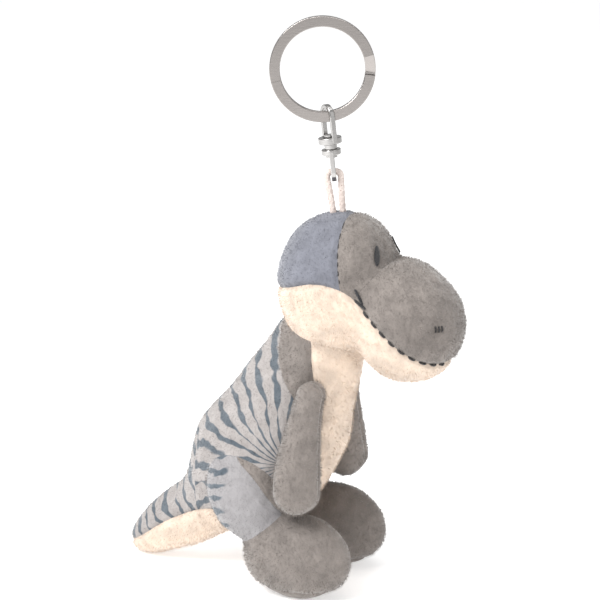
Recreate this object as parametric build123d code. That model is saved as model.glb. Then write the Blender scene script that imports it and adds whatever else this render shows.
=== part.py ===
from build123d import *
import os
from math import cos, pi, radians, sin, sqrt

# A small stuffed dinosaur that hangs from a split key ring by a sewn cord loop and a two-part
# swivel. It is modelled standing: soles at z = 0, nose towards -Y, the toy's right side at -X.
# Each part is then moved so that the origin is the ring's inner bearing point. Millimetres.

# ---- key ring ----
RING_OUTER_RADIUS = 14.0
BAND_WIDTH = 2.8
LAYER_THICKNESS = 1.0
LAYER_GAP = 0.08
BAND_EDGE_RADIUS = 0.2
CRANK_HALF_ANGLE = 10.0
WIRE_END_GAP_ANGLE = 3.0
SCORE_ANGLE = 188.0
SCORE_WIDTH = 0.25
SCORE_DEPTH = 0.15

# ---- swivel, heights along the chain above the crown ----
EYE_BAR_HEIGHT = 9.2
LOWER_FLANGE_BOTTOM = 16.0
LOWER_FLANGE_TOP = 17.6
LOWER_FLANGE_RADIUS = 2.6
LOWER_EYE_HALF_WIDTH = 1.7
LOWER_STRAP = (1.3, 1.0)
UPPER_FLANGE_BOTTOM = 19.0
UPPER_FLANGE_TOP = 20.8
UPPER_FLANGE_RADIUS = 3.15
UPPER_EYE_HALF_WIDTH = 2.25
UPPER_STRAP = (1.4, 1.0)
RING_PIVOT_HEIGHT = 26.3
UPPER_BAIL_YAW = 25.0
RIVET_SHANK_RADIUS = 1.1
RIVET_COLLAR_RADIUS = 1.7
RIVET_HEAD_RADIUS = 1.55
RIVET_HEAD_THICKNESS = 0.6
RUNNING_CLEARANCE = 0.05
AXIAL_PLAY = 0.08
STRAP_EDGE_RADIUS = 0.25
FLANGE_EDGE_RADIUS = 0.3

# ---- cord loop, seen in the ring's plane, heights above the crown ----
CORD_DIAMETER = 1.8
CORD_FLEX_HEIGHT = 1.4
CORD_TOP_HEIGHT = 10.95
CORD_ROUTE = [
    (-1.15, CORD_FLEX_HEIGHT),
    (-1.85, CORD_TOP_HEIGHT),
    (1.85, CORD_TOP_HEIGHT),
    (1.35, CORD_FLEX_HEIGHT),
]
CORD_BEND_RADIUS = 1.7
CORD_SEWN_DEPTH = 9.0

# ---- chain frame: where the cord leaves the crown, and how the ring hangs ----
CHAIN_FOOT = (0.0, -10.9, 104.2)
RING_PLANE_TURN = -68.0
CHAIN_LEAN = 6.2

# ---- stuffed body, (centre), (half-axes) ----
SKIN = 1.0
STUFFING_GAP = 0.05
CRANIUM = ((0.0, -10.5, 85.5), (17.5, 16.8, 19.0))
BROW = ((0.0, -16.0, 91.0), (15.5, 12.2, 13.4))
SNOUT = ((0.0, -31.5, 76.0), (17.5, 16.2, 16.6))
THIGH = ((-16.2, 10.3, 26.3), (6.8, 10.2, 13.5))
THIGH_TILT = -38.5
FOOT = ((-14.0, -4.7, 11.2), (8.6, 15.2, 11.9))
SOLE_SEAM_HEIGHT = 2.6

NECK = ((0.0, -5.5, 68.0), (10.5, 10.2, 11.0))
CHEST = ((0.0, 4.4, 47.8), (13.0, 17.0, 32.0))
CHEST_TILT = 28.9
HIPS = ((0.0, 13.2, 34.0), (14.0, 19.9, 19.5))
TAIL = ((0.0, 20.0, 23.2), (8.5, 10.0, 38.0))
TAIL_TILT = 56.5
SIDE_POLED = (CHEST, THIGH)
TAIL_ROOT = 24.0

# ---- seams in the side view, (y, z) ----
MOUTH_SEAM = [
    (14.0, 80.5),
    (-3.6, 86.6),
    (-10.7, 88.6),
    (-17.7, 87.1),
    (-23.5, 81.7),
    (-32.8, 72.5),
    (-40.0, 67.2),
    (-54.0, 64.5),
]
BROW_SEAM = [(-12.5, 120.0), (-14.6, 104.5), (-17.7, 86.0)]
CREASE = [(-33.0, 100.5), (-20.0, 83.5)]
BELLY_SEAM = [
    (-7.5, 82.0),
    (-7.6, 67.0),
    (-8.7, 54.0),
    (-7.5, 38.0),
    (0.0, 25.0),
    (12.0, 19.5),
    (24.0, 20.3),
    (38.7, 13.0),
    (48.3, 5.5),
    (58.0, 0.5),
]
GUSSET_EDGE = [(3.0, 82.0), (3.2, 69.0), (0.0, 58.0), (-8.8, 49.0)]
THIGH_SEAM = [(18.0, 42.0), (13.8, 35.9), (7.6, 31.5), (2.7, 25.1), (-0.5, 19.8), (-3.0, 13.0)]

ARM = ((-18.3, -7.6, 42.4), (5.6, 6.1, 17.9))
ARM_TILT = 4.0

# ---- face ----
EYE_PLACE = (-8.3, -25.4, 96.2)
EYE_HALF_AXES = (1.5, 0.6, 2.7)
NOSTRIL_PLACE = (-11.6, -43.0, 77.6)
NOSTRIL_HALF_AXES = (1.3, 0.8, 1.1)
STITCH_RADIUS = 0.35
STITCH_LENGTH = 2.3
STITCH_PITCH = 3.5
STITCH_LIFT = 0.08
MOUTH_STITCHES_PER_SIDE = 8
MOUTH_CORNER = [(-15.0, -20.3, 86.3), (-14.1, -22.2, 82.4)]
CORNER_STITCH_RADIUS = 0.55

FAR = 80.0


def chain_plane():
    """The ring's frame: x across the ring, y through it, z up the chain from the crown."""
    turn = radians(RING_PLANE_TURN)
    lean = radians(CHAIN_LEAN)
    across = Vector(cos(turn), sin(turn), 0)
    up = Vector(0, 0, 1)
    chain_up = up * cos(lean) - across * sin(lean)
    chain_across = across * cos(lean) + up * sin(lean)
    return Plane(origin=CHAIN_FOOT, x_dir=chain_across, z_dir=chain_up)


CHAIN = chain_plane()
BAND_RADIUS = RING_OUTER_RADIUS - BAND_WIDTH / 2
RING_CENTRE_HEIGHT = RING_PIVOT_HEIGHT + BAND_RADIUS
BEARING_HEIGHT = RING_CENTRE_HEIGHT + RING_OUTER_RADIUS - BAND_WIDTH
HANG_POINT = CHAIN.from_local_coords(Vector(0, 0, BEARING_HEIGHT))


def export(part, node):
    """Write one node, moved so that the ring's bearing point is the origin."""
    placed = Pos(-HANG_POINT.X, -HANG_POINT.Y, -HANG_POINT.Z) * part
    export_step(placed, f"parts/{node}.step")


def one_solid(shape):
    """The largest solid of a cut, without crumbs."""
    return max(shape.solids(), key=lambda solid: solid.volume)


# ---- hardware, in the chain frame ----
def band_section(angle, level):
    """Rounded section of the ring's wire at an angle from +x, level mm through the ring."""
    turned = Pos(0, 0, RING_CENTRE_HEIGHT) * Rot(0, -angle, 0) * Pos(BAND_RADIUS, level, 0)
    return turned * RectangleRounded(BAND_WIDTH, LAYER_THICKNESS, BAND_EDGE_RADIUS)


def split_ring():
    """Flat wire in two turns: a front and a back layer joined by one crank."""
    offset = (LAYER_THICKNESS + LAYER_GAP) / 2
    axis = Axis((0, 0, RING_CENTRE_HEIGHT), (0, -1, 0))
    sweep_angle = 360 - 2 * CRANK_HALF_ANGLE - WIRE_END_GAP_ANGLE
    front = revolve(band_section(CRANK_HALF_ANGLE, -offset), axis, sweep_angle)
    back_start = CRANK_HALF_ANGLE + WIRE_END_GAP_ANGLE
    back = revolve(band_section(back_start, offset), axis, sweep_angle)
    crank = loft(
        [
            band_section(CRANK_HALF_ANGLE, -offset),
            band_section(0, 0),
            band_section(-CRANK_HALF_ANGLE, offset),
        ]
    )
    wire = front + crank + back
    score_level = -offset - LAYER_THICKNESS / 2
    score = Box(BAND_WIDTH + 1, 2 * SCORE_DEPTH, SCORE_WIDTH)
    at_score = Pos(0, 0, RING_CENTRE_HEIGHT) * Rot(0, -SCORE_ANGLE, 0) * Pos(BAND_RADIUS, score_level, 0)
    return CHAIN.location * (wire - at_score * score)


def stirrup(bend_height, open_height, half_width, strap):
    """A U-shaped strap in the y-z plane, its bend at bend_height and its legs to open_height."""
    width, thickness = strap
    direction = 1 if open_height > bend_height else -1
    middle = half_width + thickness / 2
    path = (
        Line((0, -middle, open_height), (0, -middle, bend_height))
        + ThreePointArc(
            (0, -middle, bend_height),
            (0, 0, bend_height - direction * middle),
            (0, middle, bend_height),
        )
        + Line((0, middle, bend_height), (0, middle, open_height))
    )
    start = Plane(origin=(0, -middle, open_height), x_dir=(1, 0, 0), z_dir=(0, 0, -direction))
    return sweep(start * RectangleRounded(width, thickness, STRAP_EDGE_RADIUS), path=path)


def flange(bottom, top, radius):
    """Round plate with softened rims."""
    plate = Pos(0, 0, (bottom + top) / 2) * Cylinder(radius, top - bottom)
    return fillet(plate.edges(), FLANGE_EDGE_RADIUS)


def upper_bail():
    """Stirrup that hangs on the ring's band, with the flange that holds the rivet."""
    legs = stirrup(RING_PIVOT_HEIGHT, UPPER_FLANGE_BOTTOM + 0.6, UPPER_EYE_HALF_WIDTH, UPPER_STRAP)
    body = legs + flange(UPPER_FLANGE_BOTTOM, UPPER_FLANGE_TOP, UPPER_FLANGE_RADIUS)
    middle = (UPPER_FLANGE_BOTTOM + UPPER_FLANGE_TOP) / 2
    hole = Pos(0, 0, middle) * Cylinder(RIVET_SHANK_RADIUS, 4)
    return CHAIN.location * Rot(0, 0, UPPER_BAIL_YAW) * (body - hole)


def lower_bail():
    """Stirrup whose bottom bar carries the cord, turning freely on the rivet."""
    bend = EYE_BAR_HEIGHT + LOWER_EYE_HALF_WIDTH + LOWER_STRAP[1] / 2
    legs = stirrup(bend, LOWER_FLANGE_TOP - 0.6, LOWER_EYE_HALF_WIDTH, LOWER_STRAP)
    body = legs + flange(LOWER_FLANGE_BOTTOM, LOWER_FLANGE_TOP, LOWER_FLANGE_RADIUS)
    middle = (LOWER_FLANGE_BOTTOM + LOWER_FLANGE_TOP) / 2
    hole = Pos(0, 0, middle) * Cylinder(RIVET_SHANK_RADIUS + RUNNING_CLEARANCE, 4)
    return CHAIN.location * (body - hole)


def swivel_rivet():
    """Rivet fast in the upper flange; its collar and lower head trap the lower flange."""
    head_bottom = LOWER_FLANGE_BOTTOM - AXIAL_PLAY - RIVET_HEAD_THICKNESS
    head_top = UPPER_FLANGE_TOP + RIVET_HEAD_THICKNESS
    collar_bottom = LOWER_FLANGE_TOP + AXIAL_PLAY
    pieces = [
        (head_bottom, head_top, RIVET_SHANK_RADIUS),
        (head_bottom, head_bottom + RIVET_HEAD_THICKNESS, RIVET_HEAD_RADIUS),
        (collar_bottom, UPPER_FLANGE_BOTTOM, RIVET_COLLAR_RADIUS),
        (UPPER_FLANGE_TOP, head_top, RIVET_HEAD_RADIUS),
    ]
    rivet = None
    for bottom, top, radius in pieces:
        disc = Pos(0, 0, (bottom + top) / 2) * Cylinder(radius, top - bottom)
        rivet = disc if rivet is None else rivet + disc
    return CHAIN.location * rivet


def cord_loop():
    """Cord over the eye's bar, ending in round ends on the line where it flexes."""
    points = [Vector(x, 0, height) for x, height in CORD_ROUTE]
    path = FilletPolyline(*points, radius=CORD_BEND_RADIUS)
    start = Plane(origin=points[0], z_dir=points[1] - points[0])
    tube = sweep(start * Circle(CORD_DIAMETER / 2), path=path)
    section = pi * CORD_DIAMETER**2 / 4
    print(f"cord loop: bends {CORD_BEND_RADIUS} mm, path {path.length:.2f} mm,", end=" ")
    print(f"volume {tube.volume:.2f}, section x length {section * path.length:.2f} mm3")
    for end in (points[0], points[-1]):
        tube += Pos(end) * Sphere(CORD_DIAMETER / 2)
    return CHAIN.location * tube


def cord_ends():
    """The two ends of the cord, sewn straight down into the crown."""
    ends = []
    for x in (CORD_ROUTE[0][0], CORD_ROUTE[-1][0]):
        ends.append(Pos(x, 0, -CORD_SEWN_DEPTH / 2) * Cylinder(CORD_DIAMETER / 2, CORD_SEWN_DEPTH))
    return CHAIN.location * (ends[0] + ends[1])


# ---- stuffed body ----
def ellipsoid(shape, inset=0.0, tilt=0.0):
    """Ellipsoid with its half-axes shortened by inset, tilted about X."""
    centre, half_axes = shape
    ball = Rot(0, 90, 0) * Sphere(1.0) if shape in SIDE_POLED else Sphere(1.0)
    ball = scale(ball, by=tuple(half - inset for half in half_axes))
    return Pos(*centre) * Rot(tilt, 0, 0) * ball


def head_lobes():
    return [ellipsoid(CRANIUM), ellipsoid(BROW), ellipsoid(SNOUT)]


def head_form(inset=0.0):
    return ellipsoid(CRANIUM, inset) + ellipsoid(BROW, inset) + ellipsoid(SNOUT, inset)


def side_region(points, closing):
    """Prism along X over a side-view area: a seam closed by further corners."""
    area = make_face(Polyline(*points, *closing, points[0]))
    return extrude(Plane.YZ.offset(-FAR) * area, amount=2 * FAR)


def half_space_x(x_limit):
    """Everything to the toy's right of x_limit."""
    return Pos(x_limit - FAR, 0, FAR / 2) * Box(2 * FAR, 4 * FAR, 4 * FAR)


def parted(shape, region):
    """The piece inside a region and the piece outside it."""
    return shape & region, shape - region


def without(shape, *tools):
    """What is left of a shape when each tool has been cut from it."""
    for tool in tools:
        shape = shape - tool
    return shape


def gathered(shapes, smallest=0.5):
    """One node's solids, in one compound, without crumbs."""
    solids = [solid for shape in shapes if shape for solid in shape.solids()]
    return Compound([solid for solid in solids if solid.volume > smallest])


def head_parts(ends):
    outer = head_form()
    skin = outer - head_form(SKIN)
    stuffing = head_form(SKIN + STUFFING_GAP) - ends
    jaw, upper = parted(skin, side_region(MOUTH_SEAM, [(-54.0, 30.0), (14.0, 30.0)]))
    crown, face = parted(upper, side_region(BROW_SEAM, [(-17.7, 60.0), (30.0, 60.0), (30.0, 120.0)]))
    muzzle, brow = parted(face, side_region(CREASE, [(-20.0, 40.0), (-70.0, 40.0), (-70.0, 100.5)]))
    parts = {
        "head_crown_panel": one_solid(crown - ends),
        "head_brow_panel": one_solid(brow),
        "muzzle_panel": one_solid(muzzle),
        "jaw_panel": one_solid(jaw),
        "head_stuffing": one_solid(stuffing),
    }
    return outer, parts


def torso_lobes(inset=0.0):
    """The four rounded lobes that the torso and tail are made of."""
    return {
        "neck": ellipsoid(NECK, inset),
        "chest": ellipsoid(CHEST, inset, CHEST_TILT),
        "hips": ellipsoid(HIPS, inset),
        "tail": ellipsoid(TAIL, inset, TAIL_TILT),
    }


def torso_parts():
    head = head_lobes()
    outer = torso_lobes()
    inner = torso_lobes(SKIN)
    filling = torso_lobes(SKIN + STUFFING_GAP)
    skins = [
        without(outer["chest"], inner["chest"], inner["hips"], inner["neck"], *head),
        without(outer["hips"], inner["hips"], outer["chest"], inner["tail"]),
        without(outer["tail"], inner["tail"], outer["hips"], outer["chest"]),
        without(outer["neck"], inner["neck"], outer["chest"], *head),
    ]
    belly_region = side_region(BELLY_SEAM, [(58.0, -10.0), (-40.0, -10.0), (-40.0, 82.0)])
    gusset_region = side_region(GUSSET_EDGE, [(-40.0, 49.0), (-40.0, 82.0)])
    behind = Pos(0, TAIL_ROOT + FAR, FAR / 2) * Box(2 * FAR, 2 * FAR, 4 * FAR)
    panels = {"belly": [], "underside": [], "gusset": [], "back": []}
    for skin in skins:
        belly_side, back_side = parted(skin, belly_region)
        if belly_side:
            underside, belly = parted(belly_side, behind)
            panels["underside"].append(underside)
            panels["belly"].append(belly)
        if back_side:
            gusset, back = parted(back_side, gusset_region)
            panels["gusset"].append(gusset)
            panels["back"].append(back)
    gusset_right = gathered([piece & half_space_x(0.0) for piece in panels["gusset"] if piece])
    back_right = gathered([piece & half_space_x(0.0) for piece in panels["back"] if piece])
    stuffing = [
        without(filling["chest"], *head),
        without(filling["hips"], filling["chest"], filling["tail"]),
        without(filling["neck"], filling["chest"], *head),
    ]
    return {
        "belly_panel": gathered(panels["belly"]),
        "tail_underside_panel": gathered(panels["underside"]),
        "back_panel": Compound([*back_right.solids(), *mirror(back_right, about=Plane.YZ).solids()]),
        "shoulder_gusset_right": gusset_right,
        "shoulder_gusset_left": mirror(gusset_right, about=Plane.YZ),
        "body_stuffing": gathered(stuffing),
        "tail_stuffing": gathered([without(filling["tail"], outer["chest"])]),
    }


def right_leg_parts():
    """Thigh and foot of the toy's right leg."""
    torso = [lobe for name, lobe in torso_lobes().items() if name != "neck"]
    thigh = ellipsoid(THIGH, 0.0, THIGH_TILT)
    thigh_skin = without(thigh, ellipsoid(THIGH, SKIN, THIGH_TILT), *torso)
    thigh_filling = without(ellipsoid(THIGH, SKIN + STUFFING_GAP, THIGH_TILT), *torso)
    outside = half_space_x(THIGH[0][0])
    behind_seam = side_region(THIGH_SEAM, [(40.0, 13.0), (40.0, 42.0)]) & outside
    outer_panel, front_panel = parted(thigh_skin, behind_seam)
    foot_skin = without(ellipsoid(FOOT), ellipsoid(FOOT, SKIN), thigh, *torso)
    foot_filling = without(ellipsoid(FOOT, SKIN + STUFFING_GAP), thigh, *torso)
    above_floor = Pos(0, 0, FAR) * Box(4 * FAR, 4 * FAR, 2 * FAR)
    above_seam = Pos(0, 0, FAR + SOLE_SEAM_HEIGHT) * Box(4 * FAR, 4 * FAR, 2 * FAR)
    above_sole = Pos(0, 0, FAR + SKIN + STUFFING_GAP) * Box(4 * FAR, 4 * FAR, 2 * FAR)
    foot_inner = ellipsoid(FOOT, SKIN)
    sole_plate = (ellipsoid(FOOT) & above_floor) - (foot_inner & (Pos(0, 0, SKIN) * above_floor))
    sole = without(sole_plate, above_seam, thigh, *torso)
    return {
        "thigh_outer_panel": one_solid(outer_panel),
        "thigh_front_panel": one_solid(front_panel),
        "leg_stuffing": one_solid(thigh_filling),
        "foot_upper_panel": one_solid(foot_skin & above_seam),
        "sole_panel": one_solid(sole),
        "foot_stuffing": one_solid(foot_filling & above_sole),
    }


def right_arm_parts():
    """The arm hangs from the shoulder; a seam down its middle parts two panels."""
    skin = ellipsoid(ARM, 0.0, ARM_TILT) - ellipsoid(ARM, SKIN, ARM_TILT)
    outer_panel, inner_panel = parted(skin, half_space_x(ARM[0][0]))
    return {
        "arm_outer_panel": one_solid(outer_panel),
        "arm_inner_panel": one_solid(inner_panel),
        "arm_stuffing": one_solid(ellipsoid(ARM, SKIN + STUFFING_GAP, ARM_TILT)),
    }


# ---- face ----
def snout_point(y, z, lift=0.0):
    """The point on the right of the snout at a side-view place, lifted off its surface."""
    centre, half_axes = SNOUT
    rest = 1 - ((y - centre[1]) / half_axes[1]) ** 2 - ((z - centre[2]) / half_axes[2]) ** 2
    point = Vector(-half_axes[0] * sqrt(max(rest, 0.0)), y, z)
    out = Vector(
        point.X / half_axes[0] ** 2,
        (y - centre[1]) / half_axes[1] ** 2,
        (z - centre[2]) / half_axes[2] ** 2,
    )
    return point + out.normalized() * lift


def stitch(start, end, radius):
    """A straight thread, thickest in the middle."""
    thread = scale(Sphere(1.0), by=(radius, radius, (end - start).length / 2))
    return Plane(origin=(start + end) / 2, z_dir=end - start) * thread


def mouth_stitches():
    """Running stitches forward along the mouth seam, the same on both sides."""
    seam = Polyline(*MOUTH_SEAM)
    samples = [seam @ (step / 400) for step in range(401)]
    lift = STITCH_RADIUS + STITCH_LIFT
    surface = [snout_point(p.X, p.Y, lift) for p in samples if p.X < -23.0 and snout_point(p.X, p.Y).X < -0.6]
    walked = [0.0]
    for before, after in zip(surface, surface[1:]):
        walked.append(walked[-1] + (after - before).length)

    def at(distance):
        index = next((i for i, done in enumerate(walked) if done >= distance), len(walked) - 1)
        return surface[index]

    stitches = []
    for number in range(MOUTH_STITCHES_PER_SIDE):
        start = number * STITCH_PITCH
        if start + STITCH_LENGTH > walked[-1]:
            break
        stitches.append(stitch(at(start), at(start + STITCH_LENGTH), STITCH_RADIUS))
    both = stitches + [mirror(thread, about=Plane.YZ) for thread in stitches]
    print(f"mouth stitches: {len(both)}, seam length per side {walked[-1]:.1f} mm")
    return Compound(both)


def pair(right):
    return Compound([right, mirror(right, about=Plane.YZ)])


def face_parts(head):
    eye = one_solid(ellipsoid((EYE_PLACE, EYE_HALF_AXES), 0.0, 20.0) - head)
    nostril = one_solid(ellipsoid((NOSTRIL_PLACE, NOSTRIL_HALF_AXES)) - head)
    corner = stitch(Vector(*MOUTH_CORNER[0]), Vector(*MOUTH_CORNER[1]), CORNER_STITCH_RADIUS)
    return {
        "eye_right": eye,
        "eye_left": mirror(eye, about=Plane.YZ),
        "nostril_stitches": pair(nostril),
        "mouth_stitches": mouth_stitches(),
        "mouth_corner_stitches": pair(corner),
    }


def main():
    os.makedirs("parts", exist_ok=True)
    ends = cord_ends()
    parts = {
        "split_ring": split_ring(),
        "upper_bail": upper_bail(),
        "swivel_rivet": swivel_rivet(),
        "lower_bail": lower_bail(),
        "cord_loop": cord_loop(),
        "cord_ends": ends,
    }
    head, of_head = head_parts(ends)
    parts.update(of_head)
    parts.update(torso_parts())
    parts.update(face_parts(head))
    for name, right in {**right_leg_parts(), **right_arm_parts()}.items():
        parts[f"{name}_right"] = right
        parts[f"{name}_left"] = mirror(right, about=Plane.YZ)
    for node, part in parts.items():
        export(part, node)
    print("hang point", HANG_POINT)


main()
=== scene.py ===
from math import cos, pi, radians, sin

import bpy
import numpy as np
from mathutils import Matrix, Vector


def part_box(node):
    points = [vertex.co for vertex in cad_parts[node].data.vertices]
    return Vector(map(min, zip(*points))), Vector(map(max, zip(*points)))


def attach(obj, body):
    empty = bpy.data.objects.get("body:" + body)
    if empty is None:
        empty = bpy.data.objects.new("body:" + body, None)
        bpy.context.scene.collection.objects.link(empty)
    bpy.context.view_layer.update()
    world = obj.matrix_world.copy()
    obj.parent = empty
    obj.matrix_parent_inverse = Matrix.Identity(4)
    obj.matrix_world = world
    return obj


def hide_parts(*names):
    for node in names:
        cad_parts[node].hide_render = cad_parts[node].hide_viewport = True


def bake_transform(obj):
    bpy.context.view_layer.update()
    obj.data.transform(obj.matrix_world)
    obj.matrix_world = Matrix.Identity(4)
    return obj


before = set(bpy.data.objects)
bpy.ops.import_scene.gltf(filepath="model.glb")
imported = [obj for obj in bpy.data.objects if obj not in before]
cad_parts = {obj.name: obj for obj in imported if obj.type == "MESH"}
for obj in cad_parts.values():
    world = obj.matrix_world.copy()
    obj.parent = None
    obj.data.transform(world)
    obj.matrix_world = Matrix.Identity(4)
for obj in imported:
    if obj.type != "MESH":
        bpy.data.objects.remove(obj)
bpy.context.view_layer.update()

# ---- the toy's own standing frame, in millimetres: soles at z = 0, nose towards -Y ----
MM = 0.001
HANG_POINT = np.array([-2.02691, -5.88322, 154.007])
CHAIN_FOOT = np.array([0.0, -10.9, 104.2])
RING_PLANE_TURN = radians(-68.0)
CHAIN_LEAN = radians(6.2)

CRANIUM = ((0.0, -10.3, 85.6), (16.8, 15.4, 18.7), 0.0)
BROW = ((0.0, -15.8, 90.6), (14.5, 10.8, 13.2), 0.0)
SNOUT = ((0.0, -31.6, 75.8), (15.4, 14.6, 15.5), 0.0)
BRIDGE = ((0.0, -23.5, 82.3), (14.2, 13.0, 11.0), 0.0)
NECK = ((0.0, -5.5, 68.0), (10.5, 10.2, 11.0), 0.0)
CHEST = ((0.0, 4.0, 47.4), (12.8, 15.8, 31.4), 28.9)
HIPS = ((0.0, 12.8, 33.0), (14.0, 18.2, 18.4), 0.0)
TAIL = ((0.0, 20.0, 23.2), (8.5, 10.0, 38.0), 56.5)
THIGH = ((-14.6, 10.3, 25.8), (7.0, 9.6, 12.6), -38.5)
FOOT = ((-14.0, -4.7, 11.2), (8.6, 15.2, 11.9), 0.0)
ARM_TOP = np.array([-13.0, -8.4, 56.8])
ARM_PAW = np.array([-18.2, -6.3, 31.3])
ARM_RADII = (3.9, 6.5)

MOUTH_SEAM = [(14.0, 80.5), (-3.6, 86.6), (-10.7, 88.6), (-17.7, 87.1), (-23.5, 81.7), (-32.8, 72.5),
              (-40.0, 67.2), (-54.0, 64.5)]
BROW_SEAM = [(-12.5, 120.0), (-14.6, 104.5), (-17.7, 86.0), (-18.5, 60.0)]
CREASE = [(-33.0, 100.5), (-20.0, 83.5), (-10.0, 70.4)]
BELLY_SEAM = [(-7.5, 82.0), (-7.6, 67.0), (-8.7, 54.0), (-7.5, 38.0), (0.0, 25.0), (12.0, 19.5),
              (24.0, 20.3), (38.7, 13.0), (48.3, 5.5), (58.0, 0.5)]
GUSSET_EDGE = [(3.0, 90.0), (3.2, 69.0), (0.0, 58.0), (-8.8, 49.0), (-20.0, 45.0)]
THIGH_SEAM = [(18.0, 44.0), (13.8, 35.9), (7.6, 31.5), (2.7, 25.1), (-0.5, 19.8), (-3.0, 8.0)]
SOLE_SEAM_HEIGHT = 2.6
TAIL_ROOT = 24.0
NOSTRIL = (10.4, -42.5, 77.4)
EYE = (8.3, -25.9, 96.0)

GRID_STEP = 0.62
FILL_STEP = 1.6
SKIN = 0.8
SEAM_DEPTH = 0.75
SEAM_WIDTH = 0.8
MOUTH_LOOK = (-23.0, -45.5)
STITCH_LENGTH = 2.4
STITCH_PITCH = 3.4
FABRIC_TO_FILL = 1.9
FILL_TO_NEIGHBOUR = 2.2


def to_row(points):
    """Points of the toy's standing frame, in mm, as row-frame points in metres."""
    return (np.asarray(points, float) - HANG_POINT) * MM


# ---- chain frame ----
ACROSS_FLAT = np.array([cos(RING_PLANE_TURN), sin(RING_PLANE_TURN), 0.0])
UP = np.array([0.0, 0.0, 1.0])
CHAIN_UP = UP * cos(CHAIN_LEAN) - ACROSS_FLAT * sin(CHAIN_LEAN)
CHAIN_ACROSS = ACROSS_FLAT * cos(CHAIN_LEAN) + UP * sin(CHAIN_LEAN)
CHAIN_THROUGH = np.cross(CHAIN_UP, CHAIN_ACROSS)


def on_chain(x, y, z):
    return CHAIN_FOOT + CHAIN_ACROSS * x + CHAIN_THROUGH * y + CHAIN_UP * z


# ---- shape fields, negative inside ----
def ellipsoid(p, shape, side=1):
    centre, half, tilt = shape
    q = p - np.array([centre[0] * side, centre[1], centre[2]])
    if tilt:
        c, s = cos(radians(tilt)), sin(radians(tilt))
        y, z = q[..., 1].copy(), q[..., 2].copy()
        q = np.stack([q[..., 0], c * y + s * z, -s * y + c * z], -1)
    half = np.array(half)
    k0 = np.linalg.norm(q / half, axis=-1)
    k1 = np.linalg.norm(q / half**2, axis=-1)
    return k0 * (k0 - 1.0) / np.maximum(k1, 1e-9)


def merge(a, b, soft):
    """The union of two fields, rounded over soft millimetres where they meet."""
    h = np.clip(0.5 + 0.5 * (b - a) / soft, 0.0, 1.0)
    return b * (1 - h) + a * h - soft * h * (1 - h)


def head_field(p):
    skull = merge(ellipsoid(p, CRANIUM), ellipsoid(p, BROW), 4.0)
    skull = merge(skull, ellipsoid(p, BRIDGE), 4.0)
    return merge(skull, ellipsoid(p, SNOUT), 6.0)


def torso_field(p):
    chest = merge(ellipsoid(p, NECK), ellipsoid(p, CHEST), 7.0)
    rump = merge(ellipsoid(p, HIPS), ellipsoid(p, TAIL), 9.0)
    return merge(chest, rump, 9.0)


def leg_field(p, side):
    """Thigh and foot; the foot is flat underneath."""
    thigh = ellipsoid(p, THIGH, side)
    foot = np.maximum(ellipsoid(p, FOOT, side), 0.15 - p[..., 2])
    return merge(thigh, foot, 2.4)


def body_field(p):
    body = merge(torso_field(p), head_field(p), 2.0)
    legs = np.minimum(leg_field(p, 1), leg_field(p, -1))
    return merge(body, legs, 4.0)


def arm_field(p, side=1):
    """Tapered arm with a fuller paw that curls a little forward."""
    top = ARM_TOP * np.array([side, 1, 1])
    paw = ARM_PAW * np.array([side, 1, 1])
    along = paw - top
    t = np.clip(((p - top) @ along) / (along @ along), 0.0, 1.0)
    curl = np.sin(t * pi)[..., None] * np.array([0.0, 0.7, 0.0])
    core = top + t[..., None] * along + curl
    radius = ARM_RADII[0] + (ARM_RADII[1] - ARM_RADII[0]) * t * t * (3 - 2 * t)
    return np.linalg.norm(p - core, axis=-1) - radius


def seam_distance(points, p):
    """Signed distance in the side view to a line through points; positive on its left."""
    y, z = p[..., 1], p[..., 2]
    best = np.full(y.shape, 1e9)
    signed = np.zeros(y.shape)
    for (y0, z0), (y1, z1) in zip(points, points[1:]):
        dy, dz = y1 - y0, z1 - z0
        t = np.clip(((y - y0) * dy + (z - z0) * dz) / (dy * dy + dz * dz), 0.0, 1.0)
        away = np.hypot(y - y0 - t * dy, z - z0 - t * dz)
        side = np.sign(dy * (z - z0) - dz * (y - y0))
        nearer = away < best
        best = np.where(nearer, away, best)
        signed = np.where(nearer, away * np.where(side == 0, 1, side), signed)
    return signed


def rounded(points, passes=3):
    """The same seam with its corners cut, so that it runs in smooth curves."""
    line = [np.array(q) for q in points]
    for _ in range(passes):
        cut = [line[0]]
        for a, b in zip(line, line[1:]):
            cut += [a * 0.75 + b * 0.25, a * 0.25 + b * 0.75]
        line = cut + [line[-1]]
    return [tuple(q) for q in line]


MOUTH = rounded(MOUTH_SEAM)
BROW_EDGE = rounded(BROW_SEAM)
BELLY = rounded(BELLY_SEAM)
GUSSET = rounded(GUSSET_EDGE)
THIGH_EDGE = rounded([(y - 1.2, z + 2.0) for y, z in THIGH_SEAM])


def lumps(p, scale, seed):
    """Smooth, seeded unevenness, mostly between -1 and 1, like filling under fabric."""
    own = np.random.default_rng(seed)
    total = np.zeros(p.shape[:-1])
    for _ in range(7):
        direction = own.normal(size=3)
        direction /= np.linalg.norm(direction)
        waves = 2 * pi / scale
        total += np.sin((p @ direction) * waves * own.uniform(0.7, 1.4) + own.uniform(0, 2 * pi))
    return total / 7 * 1.6


def groove(distance):
    return SEAM_DEPTH * np.exp(-((distance / SEAM_WIDTH) ** 2))


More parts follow.
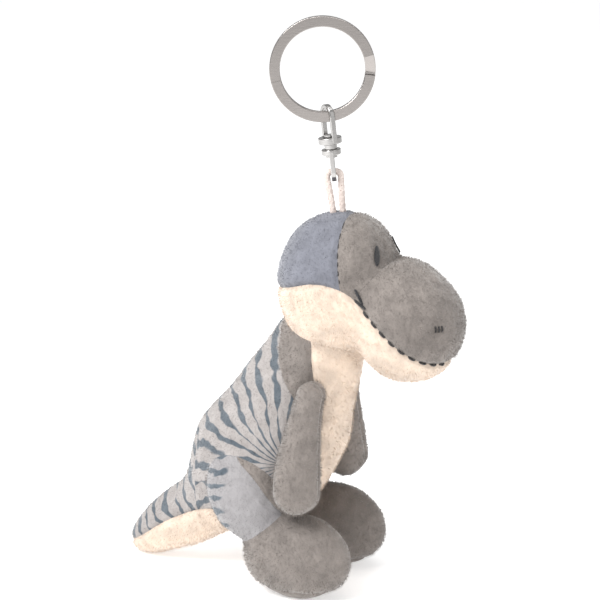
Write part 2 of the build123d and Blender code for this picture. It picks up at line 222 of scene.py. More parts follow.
def seamed_body(p):
    """The stuffed body with a tuck along each seam and the unevenness of its filling."""
    field = body_field(p)
    head, torso = head_field(p), torso_field(p)
    thigh = np.minimum(ellipsoid(p, THIGH, 1), ellipsoid(p, THIGH, -1))
    foot = np.minimum(ellipsoid(p, FOOT, 1), ellipsoid(p, FOOT, -1))
    on_head = np.clip((torso - head) / 3, 0, 1)
    on_torso = np.clip((np.minimum(head, np.minimum(thigh, foot)) - torso) / 3, 0, 1)
    on_thigh = np.clip((np.minimum(torso, foot) - thigh) / 3, 0, 1)
    mouth = seam_distance(MOUTH, p)
    upper = np.clip(-mouth / 1.5, 0, 1)
    field = field + groove(mouth) * on_head
    field = field + groove(seam_distance(BROW_EDGE, p)) * on_head * upper * 0.7
    crease = groove(seam_distance(CREASE, p) * 0.6) * np.exp(-((p[..., 0] / 7.0) ** 2))
    field = field + crease * on_head * upper * 1.3
    field = field + groove(seam_distance(BELLY, p)) * on_torso * 0.8
    far_out = np.clip((np.abs(p[..., 0]) - 17) / 2, 0, 1)
    field = field + groove(seam_distance(THIGH_EDGE, p)) * on_thigh * far_out
    off_middle = np.clip((np.abs(p[..., 0]) - 4) / 2, 0, 1)
    field = field + groove(p[..., 2] - SOLE_SEAM_HEIGHT) * off_middle * 0.5
    mirrored = np.stack([np.abs(p[..., 0]), p[..., 1], p[..., 2]], -1)
    nostril = np.linalg.norm(mirrored - np.array(NOSTRIL), axis=-1)
    field = field + 1.3 * np.exp(-((nostril / 2.0) ** 2))
    return field + 0.28 * lumps(p, 16.0, 3) + 0.10 * lumps(p, 6.0, 5)


def arm_seam_x(p):
    """Where the arm's side seam runs, down the middle of the sloping arm."""
    share = np.clip((ARM_TOP[2] - p[..., 2]) / (ARM_TOP[2] - ARM_PAW[2]), 0.0, 1.0)
    return ARM_TOP[0] + (ARM_PAW[0] - ARM_TOP[0]) * share


def seamed_arm(p):
    return arm_field(p) + groove(p[..., 0] - arm_seam_x(p)) * 0.6 + 0.18 * lumps(p, 9.0, 11)


# ---- surfaces from fields ----
def surface(field, low, high, step):
    """Vertices and quads of a field's zero surface, by surface nets."""
    axes = [np.arange(low[i], high[i] + step, step) for i in range(3)]
    grid = np.stack(np.meshgrid(*axes, indexing="ij"), -1)
    values = field(grid)
    inside = values < 0
    cells = tuple(n - 1 for n in values.shape)
    total = np.zeros(cells + (3,))
    count = np.zeros(cells)
    quads_at = []
    for axis in range(3):
        others = [i for i in range(3) if i != axis]
        lower = [slice(None)] * 3
        upper = [slice(None)] * 3
        lower[axis] = slice(0, -1)
        upper[axis] = slice(1, None)
        a, b = values[tuple(lower)], values[tuple(upper)]
        crossing = inside[tuple(lower)] != inside[tuple(upper)]
        where = np.argwhere(crossing)
        t = a[crossing] / (a[crossing] - b[crossing])
        points = where.astype(float)
        points[:, axis] += t
        for du in (0, -1):
            for dv in (0, -1):
                cell = where.copy()
                cell[:, others[0]] += du
                cell[:, others[1]] += dv
                fine = np.all((cell >= 0) & (cell < np.array(cells)), axis=1)
                index = tuple(cell[fine].T)
                np.add.at(total, index, points[fine])
                np.add.at(count, index, 1)
        quads_at.append((axis, others, where, inside[tuple(lower)][crossing]))
    active = count > 0
    number = np.full(cells, -1)
    number[active] = np.arange(active.sum())
    vertices = np.array(low) + step * (total[active] / count[active][:, None])
    faces = []
    for axis, others, where, starts_inside in quads_at:
        corners = []
        for du, dv in ((0, 0), (-1, 0), (-1, -1), (0, -1)):
            cell = where.copy()
            cell[:, others[0]] += du
            cell[:, others[1]] += dv
            corners.append(number[tuple(cell.T)])
        quad = np.stack(corners, 1)
        flip = ~starts_inside if axis != 1 else starts_inside
        quad[flip] = quad[flip][:, ::-1]
        faces.append(quad)
    return vertices, np.concatenate(faces)


def triangles(quads):
    return np.concatenate([quads[:, [0, 1, 2]], quads[:, [0, 2, 3]]])


def split(vertices, faces, value):
    """Cuts triangles where value crosses zero: (vertices, faces inside, faces outside)."""
    vertices, value = list(vertices), list(value)
    inside, outside, made = [], [], {}
    signs = np.array(value) < 0
    kinds = signs[faces].sum(axis=1)

    def crossing(a, b):
        key = (min(a, b), max(a, b))
        if key not in made:
            t = value[key[0]] / (value[key[0]] - value[key[1]])
            vertices.append(vertices[key[0]] * (1 - t) + vertices[key[1]] * t)
            value.append(0.0)
            made[key] = len(vertices) - 1
        return made[key]

    for face in faces[(kinds > 0) & (kinds < 3)]:
        face = [int(v) for v in face]
        lone_inside = signs[face].sum() == 1
        lone = next(i for i in range(3) if signs[face[i]] == lone_inside)
        a, b, c = face[lone], face[(lone + 1) % 3], face[(lone + 2) % 3]
        ab, ac = crossing(a, b), crossing(a, c)
        tip, rest = [(a, ab, ac)], [(ab, b, c), (ab, c, ac)]
        (inside if lone_inside else outside).extend(tip)
        (outside if lone_inside else inside).extend(rest)
    whole_in = faces[kinds == 3]
    whole_out = faces[kinds == 0]
    inside = np.concatenate([whole_in, np.array(inside, int).reshape(-1, 3)])
    outside = np.concatenate([whole_out, np.array(outside, int).reshape(-1, 3)])
    return np.array(vertices), inside, outside


def mesh_object(name, vertices, faces):
    """A Blender mesh from toy-frame millimetres, with only the vertices its faces use."""
    used, packed = np.unique(faces, return_inverse=True)
    mesh = bpy.data.meshes.new(name)
    mesh.from_pydata(to_row(vertices[used]).tolist(), [], packed.reshape(faces.shape).tolist())
    mesh.update()
    for polygon in mesh.polygons:
        polygon.use_smooth = True
    piece = bpy.data.objects.new(name, mesh)
    bpy.context.scene.collection.objects.link(piece)
    return piece


# ---- materials ----
def new_material(name):
    material = bpy.data.materials.new(name)
    material.use_nodes = True
    tree = material.node_tree
    return material, tree, tree.nodes["Principled BSDF"]


def node(tree, kind, inputs=None, **settings):
    made = tree.nodes.new(kind)
    for key, value in settings.items():
        setattr(made, key, value)
    for key, value in (inputs or {}).items():
        if isinstance(value, bpy.types.NodeSocket):
            tree.links.new(value, made.inputs[key])
        else:
            made.inputs[key].default_value = value
    return made


def sums(tree, operation, a, b=0.0, c=0.0):
    return node(tree, "ShaderNodeMath", {0: a, 1: b, 2: c}, operation=operation).outputs[0]


def blend_colour(tree, share, a, b):
    mix = node(tree, "ShaderNodeMix", {"Factor": share}, data_type="RGBA")
    for socket, value in ((mix.inputs[6], a), (mix.inputs[7], b)):
        if isinstance(value, bpy.types.NodeSocket):
            tree.links.new(value, socket)
        else:
            socket.default_value = (*value, 1.0)
    return mix.outputs[2]


def noise(tree, position, scale, detail=3.0):
    inputs = {"Vector": position, "Scale": scale, "Detail": detail}
    return node(tree, "ShaderNodeTexNoise", inputs).outputs["Fac"]


def shade(colour, factor):
    return tuple(min(1.0, c * factor) for c in colour)


def pile(tree, shader, position, colour, depth=0.35, sheen=0.45):
    """Short plush pile: a clumped tone that is partly the pile's own uneven colour and partly painted
    highlight on the raised clumps and painted shade between them, fine bump and a soft sheen.
    """
    clumps = noise(tree, position, 260.0, 4.0)
    brushed = noise(tree, position, 70.0, 2.0)
    tone = sums(tree, "MULTIPLY_ADD", clumps, 0.75, -0.06)
    tone = sums(tree, "MULTIPLY_ADD", brushed, 0.35, tone)
    # dark and light are darkened and lightened copies of the colour, mixed by the clumps noise that also
    # raises the bump: partly random tone, partly painted shade and painted highlight.
    if isinstance(colour, bpy.types.NodeSocket):
        dark = blend_colour(tree, 0.38, colour, (0.02, 0.02, 0.02))
        light = blend_colour(tree, 0.16, colour, (1.0, 1.0, 1.0))
    else:
        dark, light = shade(colour, 0.48), shade(colour, 1.38)
    tree.links.new(blend_colour(tree, tone, dark, light), shader.inputs["Base Color"])
    fibres = noise(tree, position, 900.0, 2.0)
    relief = sums(tree, "ADD", sums(tree, "MULTIPLY", clumps, 1.6), fibres)
    bump = node(tree, "ShaderNodeBump", {"Strength": depth, "Distance": 0.0009, "Height": relief})
    tree.links.new(bump.outputs["Normal"], shader.inputs["Normal"])
    shader.inputs["Roughness"].default_value = 0.92
    shader.inputs["Specular IOR Level"].default_value = 0.15
    shader.inputs["Sheen Weight"].default_value = sheen
    shader.inputs["Sheen Roughness"].default_value = 0.45


def plush(name, colour, depth=0.35, sheen=0.45):
    material, tree, shader = new_material(name)
    position = node(tree, "ShaderNodeTexCoord").outputs["Object"]
    pile(tree, shader, position, colour, depth, sheen)
    return material


STRIPE_FAN = (-1.0, 36.0)


def striped(name, ground, ink, on_thigh=False):
    """Printed plush: uneven teal stripes that fan over the flank, cross the tail, or lie level on a thigh."""
    material, tree, shader = new_material(name)
    position = node(tree, "ShaderNodeTexCoord").outputs["Object"]
    split_axes = node(tree, "ShaderNodeSeparateXYZ", {"Vector": position})
    y = sums(tree, "SUBTRACT", split_axes.outputs["Y"], (STRIPE_FAN[0] - HANG_POINT[1]) * MM)
    z = sums(tree, "SUBTRACT", split_axes.outputs["Z"], (STRIPE_FAN[1] - HANG_POINT[2]) * MM)
    wander = sums(tree, "SUBTRACT", noise(tree, position, 95.0, 3.0), 0.5)
    blobs = sums(tree, "SUBTRACT", noise(tree, position, 210.0, 1.0), 0.5)
    fan = sums(tree, "MULTIPLY_ADD", sums(tree, "ARCTAN2", z, y), 4.6,
               sums(tree, "MULTIPLY", wander, 1.1))
    along = sums(tree, "MULTIPLY_ADD",
                 sums(tree, "SUBTRACT", y, sums(tree, "MULTIPLY", z, 0.55)), 215.0,
                 sums(tree, "MULTIPLY", wander, 2.2))
    on_tail = sums(tree, "GREATER_THAN", y, 0.0285)
    if on_thigh:
        level = sums(tree, "MULTIPLY_ADD", y, 60.0, sums(tree, "MULTIPLY", wander, 1.6))
        along = fan = sums(tree, "MULTIPLY_ADD", z, 270.0, level)
    phase = sums(tree, "ADD", sums(tree, "MULTIPLY", along, on_tail),
                 sums(tree, "MULTIPLY", fan, sums(tree, "SUBTRACT", 1.0, on_tail)))
    wave = sums(tree, "ABSOLUTE", sums(tree, "SUBTRACT", sums(tree, "FRACT", phase), 0.5))
    width = sums(tree, "MULTIPLY_ADD", blobs, 0.70, 0.19)
    ink_share = sums(tree, "MULTIPLY", sums(tree, "SUBTRACT", width, wave), 14.0)
    if on_thigh:
        behind = sums(tree, "MULTIPLY_ADD", y, 400.0, sums(tree, "MULTIPLY_ADD", wander, 3.0, -5.6))
        behind = node(tree, "ShaderNodeClamp", {"Value": behind}).outputs[0]
        ink_share = sums(tree, "MULTIPLY", ink_share, behind)
    ink_share = node(tree, "ShaderNodeClamp", {"Value": ink_share}).outputs[0]
    printed = blend_colour(tree, sums(tree, "MULTIPLY", ink_share, 0.92), ground, ink)
    pile(tree, shader, position, printed, 0.22)
    return material


def metal(name, colour, roughness):
    """Polished nickel with faint brushing and small scratches."""
    material, tree, shader = new_material(name)
    position = node(tree, "ShaderNodeTexCoord").outputs["Object"]
    streaks = node(tree, "ShaderNodeMapping", {"Vector": position, "Scale": (1.0, 1.0, 7.0)}).outputs[0]
    rough = noise(tree, streaks, 420.0, 5.0)
    polish = sums(tree, "MULTIPLY_ADD", rough, 0.22, roughness - 0.08)
    tree.links.new(polish, shader.inputs["Roughness"])
    stain = noise(tree, position, 160.0, 2.0)
    tree.links.new(blend_colour(tree, stain, shade(colour, 0.86), colour), shader.inputs["Base Color"])
    bump = node(tree, "ShaderNodeBump", {"Strength": 0.06, "Distance": 0.0002, "Height": rough})
    tree.links.new(bump.outputs["Normal"], shader.inputs["Normal"])
    shader.inputs["Metallic"].default_value = 1.0
    return material


def thread(name, colour):
    """Twisted sewing thread."""
    material, tree, shader = new_material(name)
    position = node(tree, "ShaderNodeTexCoord").outputs["Object"]
    inputs = {"Vector": position, "Scale": 900.0, "Distortion": 3.0}
    wave = node(tree, "ShaderNodeTexWave", inputs).outputs["Fac"]
    tone = blend_colour(tree, wave, shade(colour, 0.6), shade(colour, 1.5))
    tree.links.new(tone, shader.inputs["Base Color"])
    bump = node(tree, "ShaderNodeBump", {"Strength": 0.5, "Distance": 0.0002, "Height": wave})
    tree.links.new(bump.outputs["Normal"], shader.inputs["Normal"])
    shader.inputs["Roughness"].default_value = 0.55
    shader.inputs["Sheen Weight"].default_value = 0.2
    return material


def cord_material():
    """Off-white braid with brown flecks."""
    material, tree, shader = new_material("braided_cord")
    position = node(tree, "ShaderNodeTexCoord").outputs["Object"]
    inputs = {"Vector": position, "Scale": 1500.0}
    flecks = node(tree, "ShaderNodeTexVoronoi", inputs).outputs["Distance"]
    fleck_share = sums(tree, "LESS_THAN", flecks, 0.23)
    patch = noise(tree, position, 500.0, 2.0)
    share = sums(tree, "MULTIPLY", fleck_share, sums(tree, "GREATER_THAN", patch, 0.5))
    base = blend_colour(tree, patch, (0.52, 0.42, 0.38), (0.80, 0.72, 0.67))
    tree.links.new(blend_colour(tree, share, base, (0.30, 0.20, 0.17)), shader.inputs["Base Color"])
    bump = node(tree, "ShaderNodeBump", {"Strength": 0.4, "Distance": 0.0002, "Height": patch})
    tree.links.new(bump.outputs["Normal"], shader.inputs["Normal"])
    shader.inputs["Roughness"].default_value = 0.8
    shader.inputs["Sheen Weight"].default_value = 0.3
    return material


GREY = plush("grey_plush", (0.240, 0.213, 0.195))
CROWN = plush("blue_grey_velour", (0.200, 0.206, 0.238), 0.16, 0.4)
LILAC = striped("lilac_velour", (0.300, 0.285, 0.292), (0.004, 0.036, 0.066), True)
CREAM = plush("cream_plush", (0.760, 0.610, 0.505), 0.25)
STRIPED = striped("striped_plush", (0.375, 0.340, 0.325), (0.004, 0.036, 0.066))
FILL = plush("fibrefill", (0.80, 0.80, 0.78), 0.8)
BLACK = thread("black_thread", (0.012, 0.012, 0.014))
DARK = thread("dark_thread", (0.030, 0.027, 0.027))
RING_METAL = metal("nickel_ring", (0.36, 0.335, 0.32), 0.20)
SWIVEL_METAL = metal("nickel_swivel", (0.44, 0.43, 0.42), 0.15)
CORD = cord_material()


# ---- pile fibres ----
def is_bare(p):
    """Where no pile stands: along stitched seams, on the eyes and in the nostrils."""
    mirrored = np.stack([np.abs(p[..., 0]), p[..., 1], p[..., 2]], -1)
    bare = (np.abs(seam_distance(MOUTH, p)) < 0.6) & (p[..., 1] < -15)
    bare |= (np.abs(seam_distance(BROW_EDGE, p)) < 0.4) & (p[..., 2] > 86)
    from_eye = (mirrored - np.array(EYE)) / np.array([2.0, 2.0, 3.3])
    bare |= (np.linalg.norm(from_eye, axis=-1) < 1.0)
    return bare | (np.linalg.norm(mirrored - np.array(NOSTRIL), axis=-1) < 1.2)


def fibres(vertices, faces, count, length, seed):
    """Short leaning tufts over a surface, each an open blade of three triangles."""
    own = np.random.default_rng(seed)
    a, b, c = (vertices[faces[:, i]] for i in range(3))
    normal = np.cross(b - a, c - a)
    area = np.linalg.norm(normal, axis=1)
    normal /= np.maximum(area, 1e-12)[:, None]
    chosen = own.choice(len(faces), count, p=area / area.sum())
    u, v = own.random((2, count))
    flip = u + v > 1
    u[flip], v[flip] = 1 - u[flip], 1 - v[flip]
    root = a[chosen] + (b - a)[chosen] * u[:, None] + (c - a)[chosen] * v[:, None]
    out = normal[chosen]
    kept = ~is_bare(root)
    root, out, count = root[kept], out[kept], int(kept.sum())
    nap = np.array([0.0, 0.25, -0.55])
    lean = out + 0.55 * own.normal(size=(count, 3)) + nap
    lean /= np.linalg.norm(lean, axis=1)[:, None]
    reach = length * own.uniform(0.6, 1.15, count)[:, None]
    side = np.cross(lean, own.normal(size=(count, 3)))
    side *= 0.055 / np.linalg.norm(side, axis=1)[:, None]
    sunk = root - out * 0.15
    middle = root + (out * 0.6 + lean * 0.4) * reach * 0.55
    tip = middle + lean * reach * 0.5
    points = np.concatenate([sunk - side, sunk + side, middle + side * 0.7, middle - side * 0.7, tip])
    n = np.arange(count)
    blades = [np.stack([n, n + count, n + 2 * count], 1),
              np.stack([n, n + 2 * count, n + 3 * count], 1),
              np.stack([n + 3 * count, n + 2 * count, n + 4 * count], 1)]
    return points, np.concatenate(blades)


FIBRES_PER_MM2 = 5.0


def clothe(name, vertices, faces, material, body, nodes, fibre=0.75):
    """One sewn panel: its fabric with thickness and pile, riding on its body."""
    piece = mesh_object(name, vertices, faces)
    solid = piece.modifiers.new("fabric", "SOLIDIFY")
    solid.thickness = SKIN * MM
    solid.offset = -1.0
    piece.data.materials.append(material)
    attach(piece, body)
    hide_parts(*nodes)
    a, b, c = (vertices[faces[:, i]] for i in range(3))
    area = np.linalg.norm(np.cross(b - a, c - a), axis=1).sum() / 2
    count = min(int(area * FIBRES_PER_MM2), 60000)
    if fibre and count:
        tufts = mesh_object(name + "_pile", *fibres(vertices, faces, count, fibre, len(faces)))
        tufts.data.materials.append(material)
        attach(tufts, body)
    return piece


# ---- the stuffed body's panels ----
def smooth_onto(field, vertices, rounds=2):
    """Moves vertices onto the field's surface along its slope."""
    e = 0.05
    for _ in range(rounds):
        value = field(vertices)
        slope = np.stack([(field(vertices + np.eye(3)[i] * e) - value) / e for i in range(3)], -1)
        size = np.maximum((slope**2).sum(-1), 0.2)
        vertices = vertices - slope * (value / size)[:, None] * 0.9
    return vertices


def body_panels():
    vertices, quads = surface(seamed_body, (-25.0, -50.0, -1.0), (25.0, 56.0, 107.0), GRID_STEP)
    vertices = smooth_onto(seamed_body, vertices)
    faces = triangles(quads)
    head, torso = head_field(vertices), torso_field(vertices)
    thigh = np.minimum(ellipsoid(vertices, THIGH, 1), ellipsoid(vertices, THIGH, -1))
    foot = np.minimum(ellipsoid(vertices, FOOT, 1), ellipsoid(vertices, FOOT, -1))
    leg_or_trunk = np.minimum(thigh, foot) - np.minimum(head, torso)
    vertices, leg_faces, trunk_faces = split(vertices, faces, leg_or_trunk)
    head_or_torso = head_field(vertices) - torso_field(vertices)
    vertices, head_faces, torso_faces = split(vertices, trunk_faces, head_or_torso)

    vertices, upper, jaw = split(vertices, head_faces, seam_distance(MOUTH, vertices))
    vertices, crown, face = split(vertices, upper, -seam_distance(BROW_EDGE, vertices))
    vertices, muzzle, brow = split(vertices, face, seam_distance(CREASE, vertices))
    clothe("head_crown", vertices, crown, CROWN, "plush", ["head_crown_panel"], 0.45)
    clothe("head_brow", vertices, brow, GREY, "plush", ["head_brow_panel"])
    clothe("muzzle", vertices, muzzle, GREY, "plush", ["muzzle_panel"])
    clothe("jaw", vertices, jaw, CREAM, "plush", ["jaw_panel"])

    vertices, belly_side, back_side = split(vertices, torso_faces, seam_distance(BELLY, vertices))
    vertices, belly, underside = split(vertices, belly_side, vertices[:, 1] - TAIL_ROOT)
    vertices, gussets, back = split(vertices, back_side, seam_distance(GUSSET, vertices))
    vertices, right, left = split(vertices, gussets, vertices[:, 0])
    clothe("belly", vertices, belly, CREAM, "plush", ["belly_panel"])
    clothe("tail_underside", vertices, underside, CREAM, "plush", ["tail_underside_panel"])
    clothe("back", vertices, back, STRIPED, "plush", ["back_panel"], 0.45)
    clothe("shoulder_gusset_R", vertices, right, GREY, "plush", ["shoulder_gusset_right"])
    clothe("shoulder_gusset_L", vertices, left, GREY, "plush", ["shoulder_gusset_left"])

    for side, suffix in ((1, "right"), (-1, "left")):
        vertices, own, leg_faces = split(vertices, leg_faces, vertices[:, 0] * side)
        gap = ellipsoid(vertices, FOOT, side) - ellipsoid(vertices, THIGH, side)
        vertices, foot_faces, thigh_faces = split(vertices, own, gap)
        vertices, sole, foot_upper = split(vertices, foot_faces, vertices[:, 2] - SOLE_SEAM_HEIGHT)
        vertices, behind, front = split(vertices, thigh_faces, -seam_distance(THIGH_EDGE, vertices))
        vertices, outer, inner = split(vertices, behind, vertices[:, 0] * side - THIGH[0][0])
        front = np.concatenate([front, inner])
        short = suffix[0].upper()
        clothe(f"foot_upper_{short}", vertices, foot_upper, GREY, "plush",
               [f"foot_upper_panel_{suffix}"])
        clothe(f"sole_{short}", vertices, sole, GREY, "plush",
               [f"sole_panel_{suffix}"], 0.0)
        clothe(f"thigh_outer_{short}", vertices, outer, LILAC, "plush",
               [f"thigh_outer_panel_{suffix}"], 0.45)
        clothe(f"thigh_front_{short}", vertices, front, GREY, "plush",
               [f"thigh_front_panel_{suffix}"])


def arm_panels():
    vertices, quads = surface(seamed_arm, (-27.0, -17.0, 23.0), (-7.0, 2.0, 62.0), GRID_STEP * 0.8)
    vertices = smooth_onto(seamed_arm, vertices)
    faces = triangles(quads)
    vertices, outer, inner = split(vertices, faces, vertices[:, 0] - arm_seam_x(vertices))
    for side, suffix in ((1, "right"), (-1, "left")):
        placed = vertices * np.array([side, 1, 1])
        for name, own in (("outer", outer), ("inner", inner)):
            own = own if side == 1 else own[:, ::-1]
            clothe(f"arm_{name}_{suffix[0].upper()}", placed, own, GREY, f"arm_{suffix}",
                   [f"arm_{name}_panel_{suffix}"])


# ---- filling ----
def thigh_clear_of_neighbours(p, side):
    neighbours = np.minimum(torso_field(p), ellipsoid(p, FOOT, side))
    return np.maximum(ellipsoid(p, THIGH, side), FILL_TO_NEIGHBOUR - neighbours)


def filling():
    """Fibrefill inside each form, set in from its smooth field."""
    fills = [
        ("head_fill", head_field, (-18, -49, 58), (18, 8, 106), "plush", ["head_stuffing"], 21),
        ("torso_fill", lambda p: np.maximum(torso_field(p), FILL_TO_NEIGHBOUR - head_field(p)),
         (-16, -18, 0), (16, 56, 82), "plush", ["body_stuffing", "tail_stuffing"], 22),
    ]
    for side, suffix in ((1, "right"), (-1, "left")):
        low_x, high_x = (-25, -4) if side == 1 else (4, 25)
        fills.append((f"foot_fill_{suffix}", lambda p, s=side: ellipsoid(p, FOOT, s), (low_x, -21, 0),
                      (high_x, 12, 24), "plush", [f"foot_stuffing_{suffix}"], 23))
        fills.append((f"thigh_fill_{suffix}", lambda p, s=side: thigh_clear_of_neighbours(p, s),
                      (low_x, -4, 10), (high_x, 24, 42), "plush", [f"leg_stuffing_{suffix}"], 24))
        fills.append((f"arm_fill_{suffix}", lambda p, s=side: arm_field(p, s), (low_x - 3, -17, 22),
                      (high_x + 3, 3, 62), f"arm_{suffix}", [f"arm_stuffing_{suffix}"], 25))
    for name, field, low, high, body, nodes, seed in fills:
        loose = lambda p, f=field, s=seed: f(p) + FABRIC_TO_FILL + 0.5 * lumps(p, 5.0, s)
        vertices, quads = surface(loose, low, high, FILL_STEP)
        piece = mesh_object(name, vertices, quads)
        piece.data.materials.append(FILL)
        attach(piece, body)
        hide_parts(*nodes)


# ---- thread, eyes and nostrils ----
def tube(points, radius, sides=8, twist=0.0):
    """A closed tube through points, narrowed to a seventh of its radius at both ends."""
    points = np.asarray(points, float)
    steps = np.gradient(points, axis=0)
    steps /= np.linalg.norm(steps, axis=1)[:, None]
    reference = np.array([1.0, 0.0, 0.0]) if abs(steps[0][0]) < 0.8 else np.array([0.0, 0.0, 1.0])
    rings = []
    for number, (point, step) in enumerate(zip(points, steps)):
        u = np.cross(step, reference)
        u /= np.linalg.norm(u)
        v = np.cross(step, u)
        share = number / (len(points) - 1)
        swell = radius * np.sqrt(max(1 - (2 * share - 1) ** 6, 0.02))
        angles = 2 * pi * np.arange(sides) / sides + twist * share
        ribbed = swell * (1 + 0.10 * np.cos(3 * angles - twist * 3 * share))
        rings.append(point + np.outer(np.cos(angles) * ribbed, u)
                     + np.outer(np.sin(angles) * ribbed, v))
    vertices = np.concatenate(rings)
    faces = []
    for ring in range(len(points) - 1):
        for k in range(sides):
            a, b = ring * sides + k, ring * sides + (k + 1) % sides
            faces += [(a, b, b + sides), (a, b + sides, a + sides)]
    last = len(vertices) - sides
    for k in range(1, sides - 1):
        faces += [(0, k + 1, k), (last, last + k, last + k + 1)]
    return vertices, np.array(faces)


def path_lengths(line):
    """How far along a line each of its points lies."""
    return np.concatenate([[0], np.cumsum(np.linalg.norm(np.diff(line, axis=0), axis=1))])


def joined(parts):
    vertices, faces, offset = [], [], 0
    for own_vertices, own_faces in parts:
        vertices.append(own_vertices)
        faces.append(own_faces + offset)
        offset += len(own_vertices)
    return np.concatenate(vertices), np.concatenate(faces)


def on_surface(y, z, side, lift=0.0):
    """A point of the body's surface at a side-view place, on one side of the toy."""
    xs = np.arange(0.0, 26.0, 0.05)
    line = np.stack([side * xs, np.full_like(xs, y), np.full_like(xs, z)], -1)
    inside = np.nonzero(seamed_body(line) < 0)[0]
    x = xs[inside[-1]] if len(inside) else 0.0
    return np.array([side * (x + lift), y, z])


def stitched(name, runs, radius, material, nodes):
    """Threads that dive into the fabric at both ends."""
    parts = []
    for run in runs:
        share = np.linspace(0, 1, 9)[:, None]
        start, end = np.array(run[0]), np.array(run[1])
        out = np.array(run[2])
        line = start * (1 - share) + end * share
        line = line + out * (np.sin(pi * share) * radius * 1.5 - radius * 0.6)
        parts.append(tube(line, radius, 8, 9.0))
    piece = mesh_object(name, *joined(parts))
    piece.data.materials.append(material)
    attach(piece, "plush")
    if nodes:
        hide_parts(*nodes)


def outward(point):
    e = 0.2
    value = body_field(point)
    slope = np.array([body_field(point + np.eye(3)[i] * e) - value for i in range(3)])
    return slope / np.linalg.norm(slope)


def seam_stitches():
    """Running stitches along the mouth, two threads at each corner, and the brow seam's thread."""
    mouth_runs, brow_runs, corner_runs = [], [], []
    for side in (-1, 1):
        line = [q for q in MOUTH if MOUTH_LOOK[1] < q[0] < MOUTH_LOOK[0]]
        wanted, given = np.linspace(0, 1, 160), np.linspace(0, 1, len(line))
        y = np.interp(wanted, given, [q[0] for q in line])
        z = np.interp(wanted, given, [q[1] for q in line])
        surface_line = [on_surface(a, b, side) for a, b in zip(y, z)]
        surface_line = np.array([p for p in surface_line if abs(p[0]) > 0.4])
        walked = path_lengths(surface_line)
        start = 0.0
        while start + STITCH_LENGTH + 0.1 < walked[-1]:
            a, b = (np.array([np.interp(d, walked, surface_line[:, i]) for i in range(3)])
                    for d in (start, start + STITCH_LENGTH))
            out = outward((a + b) / 2)
            mouth_runs.append((a + out * 0.25, b + out * 0.25, out))
            start += STITCH_PITCH
        for z_low in np.arange(88.5, 103.0, 2.2):
            y_low = np.interp(z_low, [86.0, 104.5], [-17.7, -14.6])
            y_high = np.interp(z_low + 1.5, [86.0, 104.5], [-17.7, -14.6])
            a, b = on_surface(y_low, z_low, side), on_surface(y_high, z_low + 1.5, side)
            brow_runs.append((a, b, outward((a + b) / 2)))
        top, bottom = on_surface(-21.0, 87.6, side), on_surface(-23.6, 83.2, side)
        low_front = on_surface(-20.6, 84.6, side)
        corner_runs.append((top, bottom, outward(top)))
        corner_runs.append((low_front, on_surface(-24.6, 82.4, side), outward(bottom)))
    stitched("mouth_thread", mouth_runs, 0.34, DARK, ["mouth_stitches"])
    stitched("brow_seam_thread", brow_runs, 0.17, DARK, [])
    stitched("mouth_corner_thread", corner_runs, 0.42, BLACK, ["mouth_corner_stitches"])


EYE_LIFT = 0.45


def eyes():
    """Embroidered eyes: rows of satin stitch in a tall, tilted oval on the stuffed surface."""
    for side, suffix in ((-1, "right"), (1, "left")):
        centre = np.array([side * EYE[0], EYE[1], EYE[2]])
        for _ in range(6):
            out = outward(centre)
            centre = centre - out * body_field(centre)
        across = np.cross(out, UP)
        across /= np.linalg.norm(across)
        tall = np.cross(across, out)
        tilt = 0.30 * side
        tall, across = (tall * cos(tilt) + across * sin(tilt),
                        across * cos(tilt) - tall * sin(tilt))
        parts = []
        for row in np.linspace(-0.93, 0.93, 17):
            half = 1.05 * np.sqrt(1 - row * row)
            share = np.linspace(-1, 1, 7)[:, None]
            line = centre + tall * (row * 2.75) + across * (share * half)
            for k in range(len(line)):
                line[k] += outward(line[k]) * (EYE_LIFT - seamed_body(line[k]))
            parts.append(tube(line, 0.24, 6))
        piece = mesh_object(f"eye_thread_{suffix}", *joined(parts))
        piece.data.materials.append(BLACK)
        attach(piece, "plush")
        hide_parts(f"eye_{suffix}")


def nostrils():
    """A few short threads that pull each nostril in."""
    runs = []
    for side in (-1, 1):
        for offset in (-0.7, 0.0, 0.7):
            a = on_surface(NOSTRIL[1] + offset, NOSTRIL[2] + 1.0, side)
            b = on_surface(NOSTRIL[1] - 0.2 + offset, NOSTRIL[2] - 0.9, side)
            runs.append((a, b, outward((a + b) / 2)))
    stitched("nostril_thread", runs, 0.28, DARK, ["nostril_stitches"])


# ---- the cord ----
CORD_DIAMETER = 1.8
CORD_POINTS = [(-1.15, -9.0), (-1.15, -5.0), (-1.15, -1.0), (-1.3, 3.0), (-1.72, 8.2),
               (-1.95, 10.4), (-1.2, 11.45), (0.0, 11.2), (1.2, 11.45), (1.95, 10.4),
               (1.75, 8.2), (1.45, 3.0), (1.35, -1.0), (1.35, -5.0), (1.35, -9.0)]
CORD_SIDES = 28
CORD_RING_STEP = 0.00011
BRAID_PITCH = 0.0034


def spline_points(route):
    """Points of the smooth curve that a route's NURBS spline makes."""
    curve = bpy.data.curves.new("route", "CURVE")
    curve.dimensions = "3D"
    curve.resolution_u = 16
    spline = curve.splines.new("NURBS")
    spline.points.add(len(route) - 1)
    for target, point in zip(spline.points, route):
        target.co = (*point, 1.0)
    spline.order_u = 3
    spline.use_endpoint_u = True
    holder = bpy.data.objects.new("route", curve)
    mesh = bpy.data.meshes.new_from_object(holder)
    points = np.array([v.co for v in mesh.vertices])
    bpy.data.objects.remove(holder)
    return points


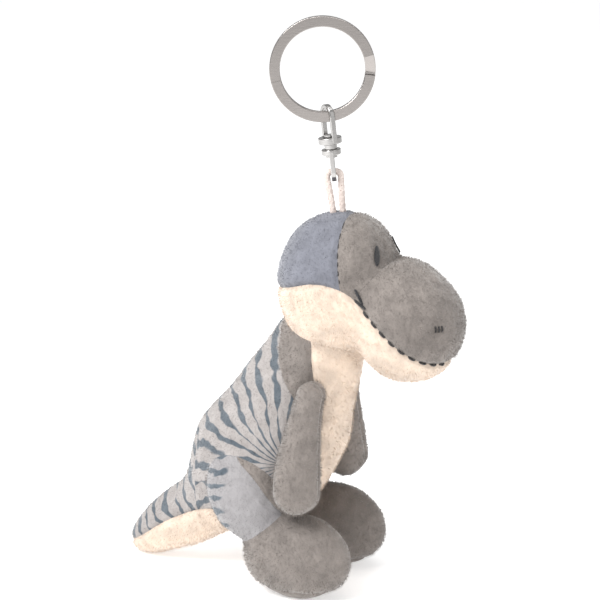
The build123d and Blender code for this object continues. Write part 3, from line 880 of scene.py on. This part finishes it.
def braided_cord():
    """One braid from inside the crown, over the swivel's bar and back into the crown; its ends are open."""
    route = [to_row(on_chain(x, 0.0, z)) for x, z in CORD_POINTS]
    line = spline_points(route)
    walked = path_lengths(line)
    count = int(walked[-1] / CORD_RING_STEP)
    at = np.linspace(0, walked[-1], count)
    points = np.stack([np.interp(at, walked, line[:, i]) for i in range(3)], -1)
    tangent = np.gradient(points, axis=0)
    tangent /= np.linalg.norm(tangent, axis=1)[:, None]
    angles = 2 * pi * np.arange(CORD_SIDES) / CORD_SIDES
    rings = []
    for distance, point, direction in zip(at, points, tangent):
        across = np.cross(direction, CHAIN_THROUGH)
        across /= np.linalg.norm(across)
        turn = distance / BRAID_PITCH * 2 * pi
        weave = np.maximum(np.cos(4 * angles + turn * 2), np.cos(4 * angles - turn * 2))
        radius = CORD_DIAMETER / 2 * MM * (0.93 + 0.07 * weave)
        rings.append(point + np.outer(np.cos(angles) * radius, across)
                     + np.outer(np.sin(angles) * radius, CHAIN_THROUGH))
    vertices = np.concatenate(rings) / MM + HANG_POINT
    faces = []
    for ring in range(count - 1):
        for k in range(CORD_SIDES):
            a, b = ring * CORD_SIDES + k, ring * CORD_SIDES + (k + 1) % CORD_SIDES
            faces.append((a, b, b + CORD_SIDES, a + CORD_SIDES))
    piece = mesh_object("braided_cord", vertices, np.array(faces))
    piece.data.materials.append(CORD)
    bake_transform(piece)
    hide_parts("cord_loop", "cord_ends")


# ---- hardware keeps its CAD shape ----
def hardware():
    for name, material in (("split_ring", RING_METAL), ("upper_bail", SWIVEL_METAL),
                           ("lower_bail", SWIVEL_METAL), ("swivel_rivet", SWIVEL_METAL)):
        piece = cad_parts[name]
        piece.data.materials.clear()
        piece.data.materials.append(material)


# ---- studio ----
CAMERA_AZIMUTH = radians(-68.0)
CAMERA_DISTANCE = 580.0
CAMERA_HEIGHT = 225.0
CAMERA_PITCH = radians(14.1)
FOCAL_LENGTH = 132.2


def studio():
    scene = bpy.context.scene
    camera_data = bpy.data.cameras.new("camera")
    camera_data.lens = FOCAL_LENGTH
    camera_data.sensor_width = 36.0
    camera_data.clip_end = 20.0
    camera = bpy.data.objects.new("camera", camera_data)
    place = (CAMERA_DISTANCE * sin(CAMERA_AZIMUTH), -CAMERA_DISTANCE * cos(CAMERA_AZIMUTH), CAMERA_HEIGHT)
    camera.location = to_row(place)
    camera.rotation_euler = (pi / 2 - CAMERA_PITCH, 0.0, CAMERA_AZIMUTH)
    scene.collection.objects.link(camera)
    scene.camera = camera
    scene.view_settings.view_transform = "Standard"

    floor_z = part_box("sole_panel_right")[0][2] - 0.0001
    mesh = bpy.data.meshes.new("floor")
    half = 4.0
    corners = [(-half, -half, floor_z), (half, -half, floor_z), (half, half, floor_z), (-half, half, floor_z)]
    mesh.from_pydata(corners, [], [(0, 1, 2, 3)])
    floor = bpy.data.objects.new("floor", mesh)
    scene.collection.objects.link(floor)
    material, tree, shader = new_material("floor")
    shader.inputs["Base Color"].default_value = (0.97, 0.97, 0.97, 1.0)
    shader.inputs["Roughness"].default_value = 0.9
    shader.inputs["Emission Color"].default_value = (1.0, 1.0, 1.0, 1.0)
    shader.inputs["Emission Strength"].default_value = 0.45
    mesh.materials.append(material)

    world = bpy.data.worlds.new("studio")
    scene.world = world
    world.use_nodes = True
    world.node_tree.nodes["Background"].inputs["Color"].default_value = (1.0, 1.0, 1.0, 1.0)
    world.node_tree.nodes["Background"].inputs["Strength"].default_value = 0.50
    for name, azimuth, elevation, distance, size, power in (
        ("key", -120.0, 52.0, 0.9, 0.45, 7.5),
        ("fill", -20.0, 30.0, 1.0, 0.8, 1.0),
        ("top", -68.0, 85.0, 0.8, 0.7, 2.5),
    ):
        data = bpy.data.lights.new(name, "AREA")
        data.shape = "DISK"
        data.size = size
        data.energy = power
        lamp = bpy.data.objects.new(name, data)
        a, e = radians(azimuth), radians(elevation)
        lamp.location = (distance * sin(a) * cos(e), -distance * cos(a) * cos(e), distance * sin(e) + floor_z)
        lamp.rotation_euler = (pi / 2 - e, 0.0, a)
        scene.collection.objects.link(lamp)


studio()
hardware()
braided_cord()
body_panels()
arm_panels()
filling()
seam_stitches()
eyes()
nostrils()
